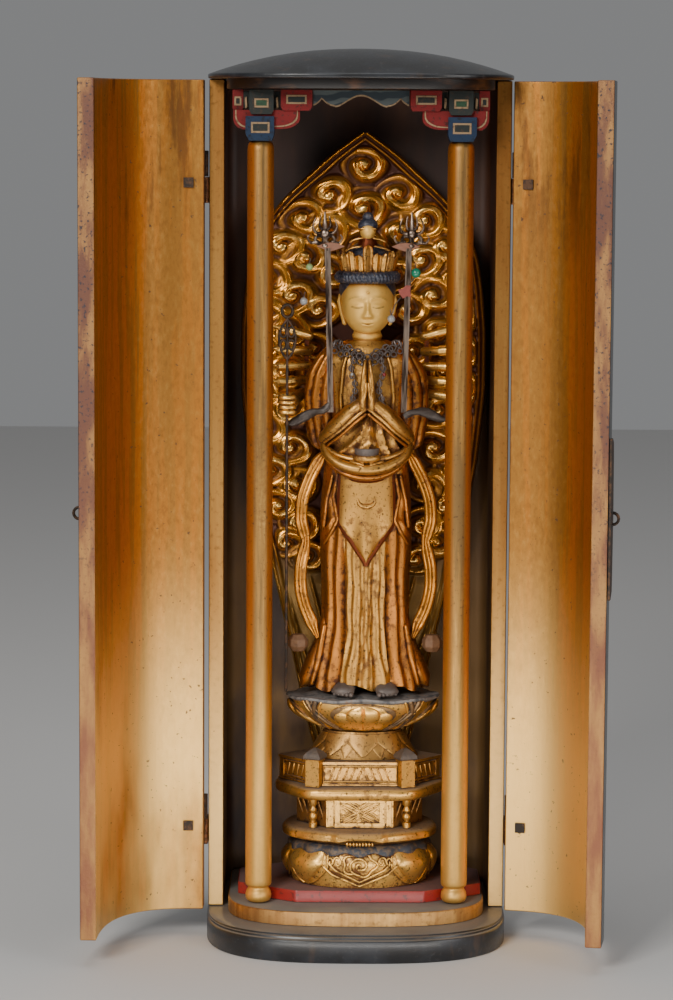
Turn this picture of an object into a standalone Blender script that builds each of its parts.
"""Portable buddhist shrine: a lacquered case with two curved doors, and a gilded figure on a lotus pedestal."""

import math

import bmesh
import bpy
from mathutils import Matrix, Vector

# Case and doors. The plane of the wall fronts is y = 0 and the doors bulge toward -Y.
FIT_GAP = 0.0003
CASE_HALF_WIDTH = 0.084
CASE_BACK_Y = 0.070
BACK_CORNER_RADIUS = 0.012
WALL = 0.0085
BACK_WALL = 0.006
CURVE_POWER = 2.8
INNER_HALF_WIDTH = CASE_HALF_WIDTH - WALL
BASE_OVERHANG = 0.0005
BASE_HALF_WIDTH = CASE_HALF_WIDTH + BASE_OVERHANG
BASE_BACK_Y = CASE_BACK_Y + BASE_OVERHANG
BASE_BULGE = 0.072
BASE_SLAB_TOP = 0.0125
BASE_STEP = 0.001
BASE_STEP_INSETS = ((0.0004, 0.003), (0.0008, 0.0065))
FLOOR_TOP = BASE_SLAB_TOP + 2 * BASE_STEP
ROOF_UNDERSIDE = 0.4826
ROOF_RIM = 0.0024
RIM_ROUNDING = 0.0006
LINTEL_HEIGHT = 0.0056
LINTEL_UNDERSIDE = ROOF_UNDERSIDE - LINTEL_HEIGHT
LINTEL_GAP = 0.0008
ROOF_BULGE = 0.0665
DOME_RISE = 0.0145
DOOR_BULGE = 0.0625
DOOR_THICKNESS = 0.009
DOOR_END_CLEARANCE = 0.0006
DOOR_MEETING_GAP = 0.0008
HINGE_OFFSET = 0.0016
HINGE_AXIS_X = CASE_HALF_WIDTH + HINGE_OFFSET
LEFT_OPEN_DEGREES = 92.0
RIGHT_OPEN_DEGREES = 80.0
CURVE_POINTS = 22

# Hinges and lock.
HINGE_RADIUS = 0.0013
HINGE_HEIGHT = 0.029
HINGE_UNDER_ROOF = 0.0541
LOW_HINGE_MIDDLE = 0.065
HINGE_MIDDLES = (ROOF_UNDERSIDE - HINGE_UNDER_ROOF, LOW_HINGE_MIDDLE)
LEAF_THICKNESS = 0.0009
LEAF_LENGTH = 0.014
WASHER_SIDE = 0.0055
WASHER_THICKNESS = 0.0008
WASHER_UNDER_ROOF = 0.0571
LOW_WASHER_MIDDLE = 0.0635
WASHER_HEIGHTS = (ROOF_UNDERSIDE - WASHER_UNDER_ROOF, LOW_WASHER_MIDDLE)
WASHER_FROM_AXIS = 0.009
WASHER_STANDOFF = 0.0009
LOCK_HEIGHT = 0.249
STAPLE_FROM_MIDDLE = 0.009
LOCK_PLATE_HALF_HEIGHT = 0.0435
LOCK_PLATE_WIDTH = 0.022
LOCK_PLATE_THICKNESS = 0.0012
STAPLE_RADIUS = 0.0032
STAPLE_WIRE = 0.0009

# Inner step and pillars.
STEP_TOP = 0.0225
STEP_SIDE_GAP = 0.003
STEP_HALF_WIDTH = INNER_HALF_WIDTH - STEP_SIDE_GAP
STEP_CORNER_RADIUS = 0.008
STEP_EDGE_ROUNDING = 0.0006
STEP_BULGE = 0.048
STEP_BACK_Y = 0.060
DRAWN_HALF_WIDTH = 0.0755
WIDTH_RATIO = INNER_HALF_WIDTH / DRAWN_HALF_WIDTH
PILLAR_X = 0.055 * WIDTH_RATIO
PILLAR_Y = -0.022
PILLAR_RADIUS = 0.0073
BRACKET_DEPTH = 0.016
BRACKET_CLEARANCE = 0.0004
BRACKET_TOP = LINTEL_UNDERSIDE - BRACKET_CLEARANCE
BRACKET_HEIGHT = 0.0281
PILLAR_TOP = BRACKET_TOP - BRACKET_HEIGHT
BRACKET_INNER_REACH = 0.0282
VALANCE_SIDE_GAP = 0.0006
VALANCE_HALF_WIDTH = PILLAR_X - BRACKET_INNER_REACH - VALANCE_SIDE_GAP
VALANCE_DEPTH = 0.0071

# Pedestal. Each tier stands on the one below with FIT_GAP between them. Its widths are drawn for a case
# of DRAWN_HALF_WIDTH inside and follow the case by WIDTH_RATIO.
PEDESTAL_X = 0.002
PEDESTAL_Y = 0.012
BOWL_X = 0.0035
PLINTH_TOP = 0.0293
PETAL_TIER_TOP = 0.054
LEDGE_TOP = 0.0617
DRUM_TOP = 0.079
RAIL_TOP = 0.0865
HEX_TOP = 0.1005
NECK_TOP = 0.1155
BOWL_TOP = 0.137

# Figure and mandorla. The figure is drawn standing on DRAWN_FEET under DRAWN_HEADROOM and is scaled whole to
# the headroom or the width of the case, whichever is the smaller; the mandorla follows both.
DRAWN_FEET = 0.1373
DRAWN_HEADROOM = 0.3397
FEET_Z = BOWL_TOP + FIT_GAP
FIGURE_SCALE = min((LINTEL_UNDERSIDE - FEET_Z) / DRAWN_HEADROOM, WIDTH_RATIO)
FIGURE_X = 0.0045
FIGURE_Y = 0.010
DRAWN_MANDORLA_FOOT = 0.0868
DRAWN_MANDORLA_ROOM = 0.3902
MANDORLA_FOOT = RAIL_TOP + FIT_GAP
MANDORLA_STRETCH = (LINTEL_UNDERSIDE - MANDORLA_FOOT) / DRAWN_MANDORLA_ROOM
MANDORLA_X = 0.003
MANDORLA_FRONT_Y = 0.040
MANDORLA_BACK_Y = 0.047
FIGURE_VOXEL = 0.0012


def clear_scene():
    for obj in list(bpy.data.objects):
        bpy.data.objects.remove(obj)


def material(name, colour, metallic, roughness):
    made = bpy.data.materials.new(name)
    made.use_nodes = True
    shader = made.node_tree.nodes["Principled BSDF"]
    shader.inputs["Base Color"].default_value = (*colour, 1.0)
    shader.inputs["Metallic"].default_value = metallic
    shader.inputs["Roughness"].default_value = roughness
    return made


def node_from(name, work, look, parent=None):
    """Closes a bmesh into a named object with its own copy of a look."""
    bmesh.ops.recalc_face_normals(work, faces=work.faces)
    mesh = bpy.data.meshes.new(name)
    work.to_mesh(mesh)
    work.free()
    obj = bpy.data.objects.new(name, mesh)
    shrine.objects.link(obj)
    mesh.materials.append(material(name, *look))
    if parent is not None:
        obj.parent = parent
    return obj


def loft(rings, work=None):
    """Joins closed rings of equal point count and caps both ends."""
    work = work or bmesh.new()
    loops = [[work.verts.new(point) for point in ring] for ring in rings]
    count = len(loops[0])
    for low, high in zip(loops, loops[1:]):
        for i in range(count):
            j = (i + 1) % count
            work.faces.new((low[i], low[j], high[j], high[i]))
    work.faces.new(list(reversed(loops[0])))
    work.faces.new(loops[-1])
    return work


def prism(outline, low, high, work=None):
    return loft([[(x, y, z) for x, y in outline] for z in (low, high)], work)


def prism_y(outline, front, back, work=None):
    """An outline in X and Z, pushed along Y."""
    return loft([[(x, y, z) for x, z in outline] for y in (front, back)], work)


def box(low, high, work=None):
    outline = ((low[0], low[1]), (high[0], low[1]), (high[0], high[1]), (low[0], high[1]))
    return prism(outline, low[2], high[2], work)


def ellipse(cx, cy, z, rx, ry, count, phase=0.0):
    steps = (phase + 2 * math.pi * i / count for i in range(count))
    return [(cx + rx * math.cos(a), cy + ry * math.sin(a), z) for a in steps]


def tube(path, radii, sides, work=None):
    """A round bar along a path, with a flat end at each side."""
    path = [Vector(point) for point in path]
    rings = []
    side = None
    for i, point in enumerate(path):
        ahead = path[min(i + 1, len(path) - 1)] - path[max(i - 1, 0)]
        ahead.normalize()
        if side is None:
            side = ahead.cross(Vector((0, 0, 1)) if abs(ahead.z) < 0.9 else Vector((1, 0, 0)))
        side = (side - ahead * side.dot(ahead)).normalized()
        up = ahead.cross(side)
        radius = radii[i] if isinstance(radii, (list, tuple)) else radii
        wide, tall = radius if isinstance(radius, (list, tuple)) else (radius, radius)
        turns = (2 * math.pi * k / sides for k in range(sides))
        rings.append([point + side * wide * math.cos(a) + up * tall * math.sin(a) for a in turns])
    return loft(rings, work)


def ball(centre, radii, work, columns=14, rows=8, turn=0.0):
    made = bmesh.ops.create_uvsphere(work, u_segments=columns, v_segments=rows, radius=1.0)
    placing = Matrix.Translation(centre) @ Matrix.Rotation(turn, 4, "Y") @ Matrix.Diagonal((*radii, 1.0))
    bmesh.ops.transform(work, matrix=placing, verts=made["verts"])
    return work


def fused(name, work, look, voxel, triangles):
    """Fuses overlapping closed shapes into one body and thins its faces to about a given number."""
    obj = node_from(name, work, look)
    remesh = obj.modifiers.new("fuse", "REMESH")
    remesh.mode = "VOXEL"
    remesh.voxel_size = voxel
    graph = bpy.context.evaluated_depsgraph_get()
    count = sum(len(p.vertices) - 2 for p in obj.evaluated_get(graph).to_mesh().polygons)
    thin = obj.modifiers.new("thin", "DECIMATE")
    thin.ratio = min(1.0, triangles / count)
    graph = bpy.context.evaluated_depsgraph_get()
    mesh = bpy.data.meshes.new_from_object(obj.evaluated_get(graph))
    obj.modifiers.clear()
    largest_body(mesh)
    obj.data = mesh
    return obj


def largest_body(mesh):
    """Keeps the body with the most faces, dropping any crumb that the fusing left."""
    work = bmesh.new()
    work.from_mesh(mesh)
    left = set(work.verts)
    groups = []
    while left:
        group = set()
        edge = [left.pop()]
        while edge:
            vert = edge.pop()
            group.add(vert)
            for link in vert.link_edges:
                other = link.other_vert(vert)
                if other in left:
                    left.discard(other)
                    edge.append(other)
        groups.append(group)
    groups.sort(key=len)
    for group in groups[:-1]:
        bmesh.ops.delete(work, geom=list(group), context="VERTS")
    work.to_mesh(mesh)
    work.free()


def front_curve(half_width, bulge, count, start=0.0, end=math.pi):
    """Points of the front curve from the +X side round to the -X side."""
    points = []
    for i in range(count + 1):
        angle = start + (end - start) * i / count
        across = math.cos(angle)
        out = max(math.sin(angle), 0.0)
        x = half_width * math.copysign(abs(across) ** (2 / CURVE_POWER), across)
        points.append((x, -bulge * out ** (2 / CURVE_POWER)))
    return points


def d_outline(half_width, bulge, back, corner, count=CURVE_POINTS):
    """A flat back with rounded corners, straight sides and the curved front."""
    points = front_curve(half_width, bulge, count)
    for sign in (-1, 1):
        steps = range(5) if sign < 0 else range(4, -1, -1)
        for i in steps:
            angle = math.pi / 2 * i / 4
            x = sign * (half_width - corner + corner * math.cos(angle))
            points.append((x, back - corner + corner * math.sin(angle)))
    return points


def shell_outline():
    """The U of the two side walls and the back."""
    outer = []
    inner = []
    inner_corner = BACK_CORNER_RADIUS - BACK_WALL
    for sign in (1, -1):
        steps = range(7) if sign > 0 else range(6, -1, -1)
        for i in steps:
            angle = math.pi / 2 * i / 6
            x = CASE_HALF_WIDTH - BACK_CORNER_RADIUS + BACK_CORNER_RADIUS * math.cos(angle)
            outer.append((sign * x, CASE_BACK_Y - BACK_CORNER_RADIUS * (1 - math.sin(angle))))
            x = CASE_HALF_WIDTH - WALL - inner_corner * (1 - math.cos(angle))
            y = CASE_BACK_Y - BACK_WALL - inner_corner * (1 - math.sin(angle))
            inner.append((sign * x, y))
    outer = [(CASE_HALF_WIDTH, 0.0)] + outer + [(-CASE_HALF_WIDTH, 0.0)]
    inner_x = CASE_HALF_WIDTH - WALL
    inner = [(inner_x, 0.0)] + inner + [(-inner_x, 0.0)]
    return outer + inner[::-1]


def door_curve(side, outward, count=16):
    """The door's plan curve when closed, offset outward, from the hinge side to the meeting edge."""
    quarter = front_curve(CASE_HALF_WIDTH + outward, DOOR_BULGE + outward, count, 0.0, math.pi / 2)
    trimmed = []
    for x, y in quarter:
        trimmed.append((side * max(x, DOOR_MEETING_GAP / 2), min(y, -FIT_GAP * 2)))
    return trimmed


def about_hinge(points, side):
    return [(x - side * HINGE_AXIS_X, y) for x, y in points]


def empty(name, x, degrees):
    pivot = bpy.data.objects.new(name, None)
    shrine.objects.link(pivot)
    pivot.location = (x, 0.0, 0.0)
    pivot.rotation_euler = (0.0, 0.0, math.radians(degrees))
    return pivot


clear_scene()
shrine = bpy.data.collections.new("buddhist_shrine")
bpy.context.scene.collection.children.link(shrine)

BLACK = ((0.012, 0.012, 0.014), 0.0, 0.25)
GOLD = ((0.72, 0.42, 0.12), 0.9, 0.35)
GOLD_OLD = ((0.50, 0.26, 0.08), 0.8, 0.45)
RED = ((0.36, 0.03, 0.02), 0.0, 0.5)
BLUE = ((0.05, 0.09, 0.11), 0.0, 0.6)
IRON = ((0.06, 0.045, 0.035), 0.8, 0.55)
COPPER = ((0.30, 0.13, 0.06), 0.9, 0.45)

# Case: base slab, shell, roof.
rings = []
levels = [(0.0, 0.0, 0.0), (0.0, 0.0, BASE_SLAB_TOP)]
for index, (side_inset, front_inset) in enumerate(BASE_STEP_INSETS):
    lower = BASE_SLAB_TOP + index * BASE_STEP
    levels.append((side_inset, front_inset, lower + BASE_STEP / 10))
    levels.append((side_inset + BASE_STEP / 10, front_inset + BASE_STEP / 10, lower + BASE_STEP))
for side_inset, front_inset, height in levels:
    outline = d_outline(
        BASE_HALF_WIDTH - side_inset,
        BASE_BULGE - front_inset,
        BASE_BACK_Y - side_inset,
        BACK_CORNER_RADIUS,
    )
    rings.append([(x, y, height) for x, y in outline])
node_from("base", loft(rings), BLACK)

shell_low = FLOOR_TOP + FIT_GAP
shell_high = ROOF_UNDERSIDE - FIT_GAP
node_from("case_shell", prism(shell_outline(), shell_low, shell_high), BLACK)

rim_top = ROOF_UNDERSIDE + ROOF_RIM
lintel_inset = max(WALL, DOOR_THICKNESS) + LINTEL_GAP
lintel = d_outline(
    CASE_HALF_WIDTH - lintel_inset,
    DOOR_BULGE - DOOR_THICKNESS - LINTEL_GAP,
    CASE_BACK_Y - BACK_WALL - LINTEL_GAP,
    BACK_CORNER_RADIUS - BACK_WALL,
)
rings = [[(x, y, height) for x, y in lintel] for height in (LINTEL_UNDERSIDE, ROOF_UNDERSIDE)]
for height, shrink in ((ROOF_UNDERSIDE, RIM_ROUNDING), (ROOF_UNDERSIDE + RIM_ROUNDING, 0.0), (rim_top, 0.0)):
    outline = d_outline(BASE_HALF_WIDTH - shrink, ROOF_BULGE - shrink, BASE_BACK_Y - shrink, BACK_CORNER_RADIUS)
    rings.append([(x, y, height) for x, y in outline])
roof_outline = d_outline(BASE_HALF_WIDTH, ROOF_BULGE, BASE_BACK_Y, BACK_CORNER_RADIUS)
dome_middle_y = (CASE_BACK_Y - ROOF_BULGE) / 2
dome_half_depth = (CASE_BACK_Y + ROOF_BULGE) / 2
for scale in (0.985, 0.88, 0.70, 0.48, 0.24):
    height = rim_top + DOME_RISE * (1 - scale ** 2.2)
    ring = []
    for x, y in roof_outline:
        turn = math.atan2(y - dome_middle_y, x)
        round_x = BASE_HALF_WIDTH * math.cos(turn)
        round_y = dome_half_depth * math.sin(turn)
        share = (1 - scale) ** 0.7
        blend_x = x + (round_x - x) * share
        blend_y = y - dome_middle_y + (round_y - y + dome_middle_y) * share
        ring.append((blend_x * scale, dome_middle_y + blend_y * scale, height))
    rings.append(ring)
node_from("roof", loft(rings), BLACK)

# Inner step with the gilded front edge.
step_ring = d_outline(STEP_HALF_WIDTH, STEP_BULGE, STEP_BACK_Y, STEP_CORNER_RADIUS, 24)
step_low = FLOOR_TOP + FIT_GAP
edge = STEP_EDGE_ROUNDING
rings = [[(x, y, step_low) for x, y in step_ring]]
rings.append([(x, y, STEP_TOP - edge) for x, y in step_ring])
inner_ring = d_outline(STEP_HALF_WIDTH - edge, STEP_BULGE - edge, STEP_BACK_Y - edge, STEP_CORNER_RADIUS, 24)
rings.append([(x, y, STEP_TOP) for x, y in inner_ring])
node_from("inner_step", loft(rings), GOLD_OLD)

# Doors, hinges and their fittings. Each door turns on an empty that stands on its hinge axis.
door_low = FLOOR_TOP + DOOR_END_CLEARANCE
door_high = ROOF_UNDERSIDE - DOOR_END_CLEARANCE
for label, side, degrees in (("left", -1, -LEFT_OPEN_DEGREES), ("right", 1, RIGHT_OPEN_DEGREES)):
    pivot = empty("pivot_" + label, side * HINGE_AXIS_X, degrees)
    outer = door_curve(side, 0.0)
    inner = door_curve(side, -DOOR_THICKNESS)
    outline = about_hinge(outer + inner[::-1], side)
    node_from("door_" + label, prism(outline, door_low, door_high), BLACK, pivot)
    for place, middle in zip(("top", "bottom"), HINGE_MIDDLES):
        leaf_near = CASE_HALF_WIDTH + FIT_GAP
        leaf_far = leaf_near + LEAF_THICKNESS
        half = HINGE_HEIGHT / 2
        low, high = middle - half, middle - FIT_GAP / 2
        work = prism([(x, y) for x, y, _ in ellipse(side * HINGE_AXIS_X, 0, 0, HINGE_RADIUS, HINGE_RADIUS, 12)], low, high)
        leaf = sorted((side * leaf_near, side * leaf_far))
        box((leaf[0], 0.0002, low), (leaf[1], LEAF_LENGTH, high), work)
        fused(f"hinge_{place}_{label}_case_half", work, COPPER, 0.0003, 44)
        low, high = middle + FIT_GAP / 2, middle + half
        work = prism([(x, y) for x, y, _ in ellipse(0, 0, 0, HINGE_RADIUS, HINGE_RADIUS, 12)], low, high)
        leaf = sorted((side * (leaf_near - HINGE_AXIS_X), side * (leaf_far - HINGE_AXIS_X)))
        box((leaf[0], -LEAF_LENGTH, low), (leaf[1], -0.0002, high), work)
        piece = fused(f"hinge_{place}_{label}_door_half", work, IRON, 0.0003, 44)
        piece.parent = pivot
    for place, middle in zip(("top", "bottom"), WASHER_HEIGHTS):
        near = CASE_HALF_WIDTH - DOOR_THICKNESS - WASHER_STANDOFF
        far = near - WASHER_THICKNESS
        sides = sorted((side * (near - HINGE_AXIS_X), side * (far - HINGE_AXIS_X)))
        half = WASHER_SIDE / 2
        low = (sides[0], -WASHER_FROM_AXIS - half, middle - half)
        high = (sides[1], -WASHER_FROM_AXIS + half, middle + half)
        node_from(f"washer_{place}_{label}", box(low, high), IRON, pivot)
    # The staple is a wire loop standing on the outer face by the meeting edge.
    staple_x = side * STAPLE_FROM_MIDDLE
    face_y = -DOOR_BULGE - FIT_GAP - (LOCK_PLATE_THICKNESS + FIT_GAP if side > 0 else 0.0)
    path = []
    for i in range(9):
        angle = math.pi * i / 8
        x = staple_x - side * HINGE_AXIS_X
        path.append((x, face_y - STAPLE_RADIUS * math.sin(angle), LOCK_HEIGHT + STAPLE_RADIUS * math.cos(angle)))
    node_from("staple_" + label, tube(path, STAPLE_WIRE, 6), IRON, pivot)

width_steps = [DOOR_MEETING_GAP / 2 + 0.001 + LOCK_PLATE_WIDTH * i / 6 for i in range(7)]


def door_face_y(x):
    """Front of the closed door's outer face at a distance from the middle."""
    return -DOOR_BULGE * (1 - (x / CASE_HALF_WIDTH) ** CURVE_POWER) ** (1 / CURVE_POWER)


rings = []
shape = ((-1.0, 0.25), (-0.93, 0.62), (-0.75, 0.72), (-0.35, 0.80), (0.0, 1.0), (0.35, 0.80), (0.75, 0.72), (0.93, 0.62), (1.0, 0.25))
for level, share in shape:
    z = LOCK_HEIGHT + level * LOCK_PLATE_HALF_HEIGHT
    points = [width_steps[0] + (x - width_steps[0]) * share for x in width_steps]
    front = [(x - HINGE_AXIS_X, door_face_y(x) - FIT_GAP - LOCK_PLATE_THICKNESS, z) for x in points]
    back = [(x - HINGE_AXIS_X, door_face_y(x) - FIT_GAP, z) for x in points]
    rings.append(front + back[::-1])
node_from("lock_plate", loft(rings), IRON, bpy.data.objects["pivot_right"])

# Pillars with ball feet, and the painted brackets and valance over them.
for label, side in (("left", -1), ("right", 1)):
    base_z = STEP_TOP + FIT_GAP
    profile = (
        (0.0, 0.62), (0.0014, 0.92), (0.0038, 1.0), (0.0066, 0.93), (0.0080, 0.80), (0.0092, 0.80),
        (0.0100, 1.0), (0.0130, 1.02), (0.200, 1.0),
    )
    rings = [ellipse(side * PILLAR_X, PILLAR_Y, base_z + z, PILLAR_RADIUS * r, PILLAR_RADIUS * r, 12) for z, r in profile]
    for drop, r in ((0.004, 1.0), (0.0015, 0.93), (0.0, 0.72)):
        rings.append(ellipse(side * PILLAR_X, PILLAR_Y, PILLAR_TOP - drop, PILLAR_RADIUS * r, PILLAR_RADIUS * r, 12))
    node_from("pillar_" + label, loft(rings), GOLD)

    low = PILLAR_TOP + FIT_GAP
    front = PILLAR_Y - BRACKET_DEPTH / 2
    back = PILLAR_Y + BRACKET_DEPTH / 2

    def mirrored(points):
        """Points given from the pillar's axis outward and down from the bracket's top."""
        return [(side * (PILLAR_X + x), BRACKET_TOP + z) for x, z in points]

    foot = low - BRACKET_TOP
    socket = ((-0.0060, foot), (0.0060, foot), (0.0082, foot + 0.003), (0.0082, -0.0141), (-0.0075, -0.0141), (-0.0075, foot + 0.003))
    work = prism_y(mirrored(socket), front, back)
    arm = [(-0.0215, -0.0156)]
    arm += [(-0.0210 + 0.006 * (1 - math.cos(a)), -0.0156 - 0.0055 * math.sin(a)) for a in (0.4, 0.8, 1.2, 1.57)]
    arm += [(0.0105, -0.0216), (0.0135, -0.0196), (0.0150, -0.0156), (0.0150, -0.0111), (-0.0215, -0.0111)]
    prism_y(mirrored(arm), front + 0.003, back - 0.002, work)
    inner_end = -BRACKET_INNER_REACH
    blocks = ((inner_end, -0.0110, -0.0116, 0.0010), (-0.0070, 0.0062, -0.0134, 0.0), (0.0095, 0.0155, -0.0126, 0.0066))
    for x0, x1, z0, setback in blocks:
        block = ((x0, 0.0), (x1, 0.0), (x1, z0 + 0.002), (x1 - 0.001, z0), (x0 + 0.001, z0), (x0, z0 + 0.002))
        prism_y(mirrored(block), front + setback, back, work)
    beam = ((inner_end + 0.0007, -0.0076), (0.0156, -0.0076), (0.0156, -0.0005), (inner_end + 0.0007, -0.0005))
    prism_y(mirrored(beam), front + 0.0045, back - 0.001, work)
    fused("bracket_" + label, work, RED, 0.0005, 230)

lower = []
steps = 36
for i in range(steps + 1):
    share = -1 + 2 * i / steps
    across = abs(share) * 1.77
    lobe = 0.00285 * abs(math.sin(math.pi * across / 2)) ** 0.8
    cusp = 0.0018 * math.exp(-((abs(share) - 0.809) / 0.0458) ** 2)
    lower.append((VALANCE_HALF_WIDTH * share, BRACKET_TOP - VALANCE_DEPTH - lobe + 0.0012 + cusp))
upper = [(VALANCE_HALF_WIDTH, BRACKET_TOP), (-VALANCE_HALF_WIDTH, BRACKET_TOP)]
node_from("valance", prism_y(lower + upper, PILLAR_Y - 0.003, PILLAR_Y + 0.001), BLUE)



def widened(work):
    """Gives a pedestal tier the width that the case leaves for it."""
    bmesh.ops.transform(work, matrix=Matrix.Diagonal((WIDTH_RATIO, 1.0, 1.0, 1.0)), verts=work.verts)
    return work


# Pedestal tiers, from the red plinth up to the lotus bowl. The plinth's bevelled corners clear the pillars.
side = INNER_HALF_WIDTH - 0.0065
front = PILLAR_X - 0.019
plinth = ((-front, -0.036), (front, -0.036), (side, -0.015), (side, 0.020), (front, 0.040), (-front, 0.040), (-side, 0.020), (-side, -0.015))
outline = [(PEDESTAL_X + x, PEDESTAL_Y + y) for x, y in plinth]
node_from("plinth", prism(outline, STEP_TOP + FIT_GAP, PLINTH_TOP), RED)


def lobed(z, rx, ry, lobes, depth, count, phase=0.0, power=0.6):
    """A ring whose edge swells into rounded petals."""
    ring = []
    for i in range(count):
        angle = 2 * math.pi * i / count
        swell = abs(math.cos(lobes * (angle - math.pi / 2) / 2 + phase)) ** power
        scale = 1 - depth + depth * swell
        ring.append((PEDESTAL_X + rx * scale * math.cos(angle), PEDESTAL_Y + ry * scale * math.sin(angle), z))
    return ring


low = PLINTH_TOP + FIT_GAP
rings = [
    lobed(low, 0.040, 0.033, 8, 0.16, 40),
    lobed(low + 0.003, 0.043, 0.0355, 8, 0.12, 40),
    lobed(low + 0.012, 0.0440, 0.036, 8, 0.06, 40),
    lobed(low + 0.019, 0.041, 0.0335, 8, 0.03, 40),
    lobed(PETAL_TIER_TOP, 0.038, 0.031, 8, 0.01, 40),
]
node_from("petal_tier", widened(loft(rings)), GOLD)

low = PETAL_TIER_TOP + FIT_GAP
rings = [
    lobed(low, 0.039, 0.031, 6, 0.02, 36, 0.0, 1.0),
    lobed(low + 0.003, 0.046, 0.036, 6, 0.07, 36, 0.0, 1.0),
    lobed(low + 0.0055, 0.046, 0.036, 6, 0.07, 36, 0.0, 1.0),
    lobed(LEDGE_TOP, 0.043, 0.034, 6, 0.05, 36, 0.0, 1.0),
]
node_from("ledge", widened(loft(rings)), GOLD)


def hexagon(half_front, half_wide, front, back, z):
    points = ((-half_front, front), (half_front, front), (half_wide, 0.0), (half_front, back), (-half_front, back), (-half_wide, 0.0))
    return [(PEDESTAL_X + x, PEDESTAL_Y + y, z) for x, y in points]


low = LEDGE_TOP + FIT_GAP
work = loft([hexagon(0.019, 0.036, -0.020, 0.024, z) for z in (low, DRUM_TOP)])
front_y = PEDESTAL_Y - 0.020
for a, b in (((-0.0135, 0.0008), (0.0135, 0.0032)), ((-0.0135, 0.0138), (0.0135, 0.0162)), ((-0.0135, 0.0008), (-0.0115, 0.0162)), ((0.0115, 0.0008), (0.0135, 0.0162))):
    box((PEDESTAL_X + a[0], front_y - 0.0015, low + a[1]), (PEDESTAL_X + b[0], front_y + 0.002, low + b[1]), work)
for sign in (-1, 1):
    start = (PEDESTAL_X - 0.012, front_y - 0.0002, low + 0.0085 - sign * 0.0065)
    stop = (PEDESTAL_X + 0.012, front_y - 0.0002, low + 0.0085 + sign * 0.0065)
    tube((start, stop), 0.0009, 6, work)
fused("lattice_drum", widened(work), GOLD, 0.0006, 300)

for label, side in (("left", -1), ("right", 1)):
    profile = ((0.0, 1.0), (0.002, 1.0), (0.003, 0.6), (0.0065, 0.95), (0.010, 0.6), (0.0135, 0.95), (0.0145, 0.95))
    x = (PEDESTAL_X + side * 0.0265) * WIDTH_RATIO
    y = PEDESTAL_Y - 0.0185
    rings = [ellipse(x, y, LEDGE_TOP + FIT_GAP + z, 0.0024 * r, 0.0024 * r, 8) for z, r in profile]
    rings.append(ellipse(x, y, DRUM_TOP, 0.0022, 0.0022, 8))
    node_from("baluster_" + label, loft(rings), GOLD)

low = DRUM_TOP + FIT_GAP
rings = []
for z, grow in ((low, -0.002), (low + 0.002, 0.0), (RAIL_TOP - 0.002, 0.0), (RAIL_TOP, -0.0015)):
    rings.append(hexagon(0.030 + grow, 0.050 + grow, -0.031 - grow, 0.038 + grow, z))
node_from("rail_board", widened(loft(rings)), GOLD)

low = RAIL_TOP + FIT_GAP
work = loft([hexagon(0.024, 0.046, -0.024, 0.018, z) for z in (low, HEX_TOP)])
hex_front = PEDESTAL_Y - 0.024
for x0, x1, z0, z1 in ((-0.020, 0.020, 0.0006, 0.0028), (-0.020, 0.020, 0.0110, 0.0132), (-0.020, -0.0178, 0.0006, 0.0132), (0.0178, 0.020, 0.0006, 0.0132)):
    box((PEDESTAL_X + x0, hex_front - 0.0013, low + z0), (PEDESTAL_X + x1, hex_front + 0.002, low + z1), work)
for i in range(5):
    x = PEDESTAL_X - 0.0135 + 0.00675 * i
    tube(((x - 0.003, hex_front, low + 0.0025), (x + 0.003, hex_front, low + 0.0115)), 0.0009, 6, work)
for side in (-1, 1):
    x = PEDESTAL_X + side * 0.0255
    y = PEDESTAL_Y - 0.0235
    box((x - 0.0045, y - 0.0040, low), (x + 0.0045, y + 0.0045, low + 0.0185), work)
    box((x - 0.0056, y - 0.0052, low + 0.0185 - 0.0002), (x + 0.0056, y + 0.0052, low + 0.0215), work)
    box((x - 0.0040, y - 0.0036, low + 0.0212), (x + 0.0040, y + 0.0036, low + 0.0228), work)
fused("hexagonal_tier", widened(work), GOLD, 0.0007, 380)

low = HEX_TOP + FIT_GAP
rings = []
for z, r, depth in ((low, 0.0335, 0.12), (low + 0.003, 0.0335, 0.10), (low + 0.006, 0.030, 0.05), (low + 0.0085, 0.0255, 0.0), (low + 0.011, 0.0245, 0.0), (NECK_TOP, 0.0225, 0.0)):
    ring = lobed(z, r, r * 0.62, 12, depth, 30, 0.0, 0.8)
    rings.append(ring)
node_from("lotus_neck", widened(loft(rings)), GOLD)


def bowl_ring(z, radius, depth, lift, phase=0.0):
    ring = []
    for i in range(32):
        angle = 2 * math.pi * i / 32
        swell = abs(math.cos(4 * (angle - math.pi / 2) + phase)) ** 0.7
        scale = radius * (1 - depth + depth * swell)
        ring.append((BOWL_X + scale * math.cos(angle), PEDESTAL_Y + 0.62 * scale * math.sin(angle), z + lift * swell))
    return ring


low = NECK_TOP + FIT_GAP
rings = [
    bowl_ring(low, 0.0190, 0.03, 0.0),
    bowl_ring(low + 0.004, 0.0290, 0.06, 0.0),
    bowl_ring(low + 0.009, 0.0375, 0.09, 0.0),
    bowl_ring(low + 0.0155, 0.0425, 0.10, 0.0005),
    bowl_ring(low + 0.0185, 0.0440, 0.10, 0.0018),
    bowl_ring(low + 0.0185, 0.0395, 0.08, 0.0008),
    bowl_ring(low + 0.0170, 0.0350, 0.04, 0.0),
    bowl_ring(BOWL_TOP - 0.0005, 0.0310, 0.0, 0.0),
    bowl_ring(BOWL_TOP, 0.0290, 0.0, 0.0),
]
node_from("lotus_bowl", widened(loft(rings)), GOLD)



def at(x, y, z):
    """A point of the figure as drawn, from its own axis."""
    return (FIGURE_X + x, FIGURE_Y + y, z)


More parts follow.
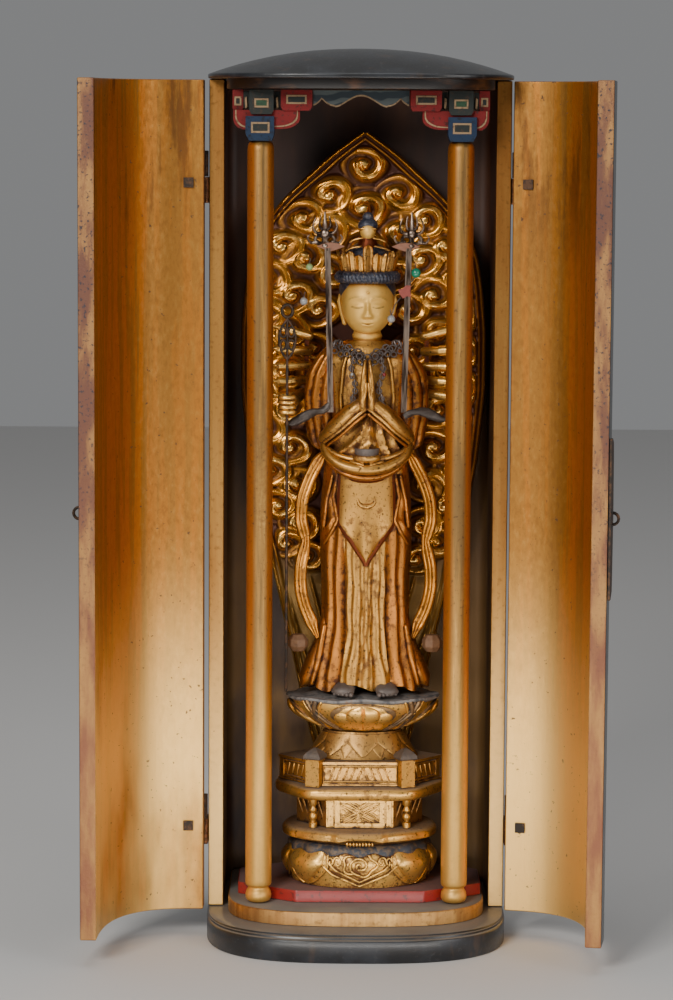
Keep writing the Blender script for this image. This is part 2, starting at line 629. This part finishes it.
def standing(work):
    """Scales a drawn piece of the figure and stands it on the lotus."""
    feet = Vector((FIGURE_X, FIGURE_Y, DRAWN_FEET))
    to_feet = Matrix.Translation(Vector((FIGURE_X * WIDTH_RATIO, FIGURE_Y, FEET_Z)))
    placing = to_feet @ Matrix.Scale(FIGURE_SCALE, 4) @ Matrix.Translation(-feet)
    bmesh.ops.transform(work, matrix=placing, verts=work.verts)
    return work


# Standing figure: robe, sleeves, arms, head and crown are one carving.


def robe_ring(z, rx, ry, folds, depth, count=72, forward=0.0):
    """A waisted oval with vertical folds cut in its front."""
    ring = []
    for i in range(count):
        angle = 2 * math.pi * i / count
        wave = math.cos(folds * (angle - 3 * math.pi / 2))
        scale = 1 + depth * wave
        ring.append(at(rx * scale * math.cos(angle), forward + ry * scale * math.sin(angle), z))
    return ring


robe = (
    (DRAWN_FEET + 0.0065, 0.0305, 0.0170, 0.10), (DRAWN_FEET + 0.012, 0.0290, 0.0160, 0.10), (0.160, 0.0255, 0.0150, 0.09),
    (0.178, 0.0235, 0.0140, 0.08), (0.200, 0.0240, 0.0140, 0.07), (0.225, 0.0250, 0.0145, 0.05), (0.250, 0.0250, 0.0145, 0.03),
    (0.270, 0.0235, 0.0140, 0.02), (0.290, 0.0225, 0.0135, 0.0), (0.312, 0.0250, 0.0140, 0.0), (0.326, 0.0270, 0.0130, 0.0),
    (0.333, 0.0230, 0.0110, 0.0), (0.337, 0.0130, 0.0085, 0.0),
)
work = loft([robe_ring(z, rx, ry, 9, depth) for z, rx, ry, depth in robe])
for side in (-1, 1):
    # Foot, hem tip, sleeve, praying forearm and the lower arm that holds the bowl.
    ball(at(side * 0.0112, -0.0125, DRAWN_FEET + 0.0042), (0.0062, 0.0115, 0.0042), work)
    hem = [at(side * 0.022, 0.0, 0.172), at(side * 0.0285, -0.001, 0.156), at(side * 0.0330, 0.0, DRAWN_FEET + 0.0065)]
    tube(hem, [0.005, 0.0055, 0.0030], 10, work)
    sleeve = [at(side * 0.0240, 0.001, 0.3290), at(side * 0.0300, 0.0, 0.3130), at(side * 0.0300, -0.001, 0.2930), at(side * 0.0270, -0.002, 0.2780)]
    tube(sleeve, [(0.0090, 0.0072), (0.0105, 0.0050), (0.0110, 0.0052), (0.0060, 0.0035)], 14, work)
    arm = [at(side * 0.0255, -0.006, 0.2900), at(side * 0.0190, -0.0155, 0.2915), at(side * 0.0075, -0.0205, 0.3060)]
    tube(arm, [0.0058, 0.0052, 0.0036], 12, work)
    hand = [at(side * 0.0022, -0.0215, 0.3020), at(side * 0.0020, -0.0215, 0.3120), at(side * 0.0008, -0.0205, 0.3255)]
    tube(hand, [(0.0042, 0.0026), (0.0044, 0.0026), (0.0020, 0.0012)], 10, work)
    lower_arm = [at(side * 0.0255, -0.005, 0.2790), at(side * 0.0180, -0.0140, 0.2670), at(side * 0.0050, -0.0190, 0.2640)]
    tube(lower_arm, [0.0062, 0.0056, 0.0040], 12, work)
    ball(at(side * 0.0152, 0.004, 0.3565), (0.0022, 0.0035, 0.0095), work)
    fold = [at(side * 0.0200, -0.0105, 0.2700), at(side * 0.0150, -0.0145, 0.2450), at(side * 0.0045, -0.0160, 0.2170)]
    tube(fold, [0.0022, 0.0024, 0.0018], 8, work)
ball(at(0.0, -0.0190, 0.2745), (0.0075, 0.0052, 0.0048), work)
apron = [at(0.0, -0.0095, 0.2700), at(0.0, -0.0110, 0.2450), at(0.0, -0.0125, 0.2160)]
tube(apron, [(0.0050, 0.0175), (0.0045, 0.0130), (0.0030, 0.0022)], 16, work)
neck = [at(0.0, 0.002, 0.3300), at(0.0, 0.001, 0.3480)]
tube(neck, [0.0095, 0.0080], 14, work)
ball(at(0.0, 0.0005, 0.3590), (0.0150, 0.0160, 0.0195), work, 20, 14)
ball(at(0.0, 0.0030, 0.3660), (0.0162, 0.0160, 0.0140), work, 20, 12)
ball(at(0.0, -0.0152, 0.3562), (0.0022, 0.0030, 0.0040), work)
roll = [at(0.0160 * math.cos(a), 0.001 + 0.0155 * math.sin(a), 0.3715) for a in [2 * math.pi * i / 20 for i in range(21)]]
tube(roll, 0.0030, 8, work)
for i in range(9):
    angle = math.pi * (1.02 + 0.96 * i / 8)
    x, y = 0.0150 * math.cos(angle), 0.0145 * math.sin(angle)
    tall = 0.0085 + 0.0045 * (1 - abs(i - 4) / 4)
    tube([at(x, y, 0.3720), at(x * 1.04, y * 1.04, 0.3720 + tall), at(x * 0.98, y * 0.98, 0.3760 + tall)], [0.0028, 0.0022, 0.0006], 8, work)
crown_core = [ellipse(FIGURE_X, FIGURE_Y + 0.001, z, r, r, 18) for z, r in ((0.370, 0.0145), (0.3840, 0.0125), (0.3880, 0.0080))]
loft(crown_core, work)
tube([at(0, 0.001, 0.3850), at(0, 0.001, 0.3950)], [0.0070, 0.0055], 14, work)
ball(at(0.0, 0.0, 0.4000), (0.0055, 0.0055, 0.0065), work)
ball(at(0.0, 0.0, 0.4065), (0.0028, 0.0028, 0.0035), work)
fused("figure", standing(work), GOLD, FIGURE_VOXEL * FIGURE_SCALE, 1950)

# Side arms, scarves, knobs and staffs. FIT_GAP or more parts each from the figure.
for label, side in (("left", -1), ("right", 1)):
    work = box(at(side * 0.0355 - 0.0022, 0.0135, 0.3030), at(side * 0.0355 + 0.0022, 0.0185, 0.3420))
    for k, (z, reach, rise) in enumerate(((0.3390, 0.0135, 0.006), (0.3310, 0.0150, 0.003), (0.3230, 0.0150, 0.001), (0.3150, 0.0150, -0.001), (0.3070, 0.0130, -0.003))):
        deep = 0.016 - 0.0035 * (k % 3)
        start = at(side * 0.0340, 0.0160, z)
        elbow = at(side * (0.0400 + reach * 0.3), deep, z + rise * 0.5)
        end = at(side * (0.0350 + reach), deep - 0.004, z + rise)
        tube((start, elbow, end), [0.0026, 0.0024, 0.0018], 8, work)
        ball(end, (0.0028, 0.0030, 0.0030), work, 8, 6)
    if side < 0:
        reach_path = (at(-0.0365, 0.0150, 0.3060), at(-0.0420, 0.0, 0.3025), at(-0.0435, -0.0200, 0.3035))
        tube(reach_path, [0.0030, 0.0034, 0.0030], 8, work)
    fused("side_arms_" + label, standing(work), GOLD, 0.0008, 290)

    scarf_points = (
        (0.0330, 0.2690), (0.0375, 0.2560), (0.0385, 0.2400), (0.0355, 0.2250), (0.0365, 0.2080), (0.0395, 0.1950), (0.0360, 0.1800), (0.0335, 0.1740),
    )
    rings = []
    for i, (x, z) in enumerate(scarf_points):
        bow = -0.004 + 0.002 * math.sin(i * 1.3)
        flat = (-0.0033, -0.0012), (-0.0010, -0.0019), (0.0014, -0.0016), (0.0033, -0.0006), (0.0031, 0.0010), (0.0, 0.0015), (-0.0031, 0.0010)
        rings.append([at(side * (x + dx), bow + dy, z) for dx, dy in flat])
    node_from("scarf_" + label, standing(loft(rings)), GOLD)

    work = ball(at(side * 0.0380, -0.0045, 0.1660), (0.0062, 0.0052, 0.0058), bmesh.new(), 8, 5)
    node_from("knob_" + label, standing(work), GOLD_OLD)

    x = side * 0.0232
    work = tube((at(x, -0.0245, 0.2985), at(x, -0.0245, 0.3880)), 0.0016, 8)
    head = at(x + side * 0.0015, -0.0245, 0.3975)
    for k in range(7):
        angle = math.pi * (0.5 + (k - 3) * 0.21)
        tip = Vector(head) + Vector((0.0100 * math.cos(angle), 0.0, 0.0110 * math.sin(angle)))
        tube((head, (Vector(head) + tip) / 2 + Vector((0.0008, 0, 0)), tip), [0.0022, 0.0017, 0.0006], 6, work)
    ball(head, (0.0052, 0.0026, 0.0056), work, 10, 6)
    ball(at(x, -0.0245, 0.3900), (0.0036, 0.0028, 0.0040), work, 8, 6)
    fused("staff_inner_" + label, standing(work), IRON, 0.0006, 200)

x, y = -0.0445, -0.0275
work = tube((at(x, y, 0.1420), at(x, y, 0.3300)), 0.0009, 8)
tube((at(x, y, 0.3290), at(x, y, 0.3380), at(x, y, 0.3450), at(x, y, 0.3520)), [0.0012, 0.0050, 0.0048, 0.0012], 10, work)
ring_path = [at(x + 0.0035 * math.cos(a), y, 0.3550 + 0.0040 * math.sin(a)) for a in [2 * math.pi * i / 12 for i in range(13)]]
tube(ring_path, 0.0010, 6, work)
fused("staff_outer_left", standing(work), IRON, 0.0006, 180)

# Mandorla: a board with a raised double rim and swelling scrolls, narrowing to a plain foot.
PROFILE = (
    (DRAWN_MANDORLA_FOOT, 0.024), (0.120, 0.033), (0.153, 0.040), (0.178, 0.046), (0.205, 0.052), (0.240, 0.061), (0.269, 0.066),
    (0.307, 0.070), (0.341, 0.070), (0.365, 0.068), (0.384, 0.065), (0.400, 0.058), (0.413, 0.049), (0.424, 0.038), (0.440, 0.021), (0.453, 0.003),
)


def half_width_at(z):
    for (z0, w0), (z1, w1) in zip(PROFILE, PROFILE[1:]):
        if z <= z1:
            share = (z - z0) / (z1 - z0)
            return w0 + (w1 - w0) * share
    return PROFILE[-1][1]


ROSETTES = (
    (0.0, 0.436, 0.010), (0.0, 0.411, 0.011), (-0.022, 0.417, 0.010), (0.022, 0.417, 0.010), (-0.035, 0.397, 0.012), (0.035, 0.397, 0.012),
    (-0.048, 0.372, 0.012), (0.048, 0.372, 0.012), (-0.054, 0.343, 0.012), (0.054, 0.343, 0.012), (-0.053, 0.312, 0.012), (0.053, 0.312, 0.012),
    (-0.050, 0.282, 0.012), (0.050, 0.282, 0.012), (-0.046, 0.254, 0.011), (0.046, 0.254, 0.011), (-0.040, 0.229, 0.010), (0.040, 0.229, 0.010),
    (-0.020, 0.388, 0.010), (0.020, 0.388, 0.010),
)


def relief(x, z, share):
    """How far the carving stands forward of the board."""
    height = 0.0
    if share > 0.86:
        height = 0.0030
    for cx, cz, radius in ROSETTES:
        away = math.hypot(x - cx, z - cz) / radius
        if away < 1:
            height = max(height, 0.0042 * (1 - away ** 3))
    return height


columns = 20
rows = 46
low_z, high_z = PROFILE[0][0], PROFILE[-1][0]
front_grid = []
work = bmesh.new()
for r in range(rows + 1):
    z = low_z + (high_z - low_z) * r / rows
    half = half_width_at(z)
    line = []
    for c in range(columns + 1):
        share = -1 + 2 * c / columns
        share = math.copysign(abs(share) ** 0.85, share)
        x = half * share
        line.append(work.verts.new((MANDORLA_X + x, MANDORLA_FRONT_Y - relief(x, z, abs(share)), z)))
    front_grid.append(line)
for r in range(rows):
    for c in range(columns):
        work.faces.new((front_grid[r][c], front_grid[r][c + 1], front_grid[r + 1][c + 1], front_grid[r + 1][c]))
border = [front_grid[0][c] for c in range(columns + 1)]
border += [front_grid[r][columns] for r in range(1, rows + 1)]
border += [front_grid[rows][c] for c in range(columns - 1, -1, -1)]
border += [front_grid[r][0] for r in range(rows - 1, 0, -1)]
behind = [work.verts.new((v.co.x, MANDORLA_BACK_Y, v.co.z)) for v in border]
for i in range(len(border)):
    j = (i + 1) % len(border)
    work.faces.new((border[j], border[i], behind[i], behind[j]))
work.faces.new(behind)
to_foot = Matrix.Translation(Vector((0.0, 0.0, MANDORLA_FOOT)))
stretch = Matrix.Diagonal((WIDTH_RATIO, 1.0, MANDORLA_STRETCH, 1.0))
placing = to_foot @ stretch @ Matrix.Translation(Vector((0.0, 0.0, -DRAWN_MANDORLA_FOOT)))
bmesh.ops.transform(work, matrix=placing, verts=work.verts)
mandorla = node_from("mandorla", work, GOLD)
thin = mandorla.modifiers.new("thin", "DECIMATE")
thin.ratio = 0.40
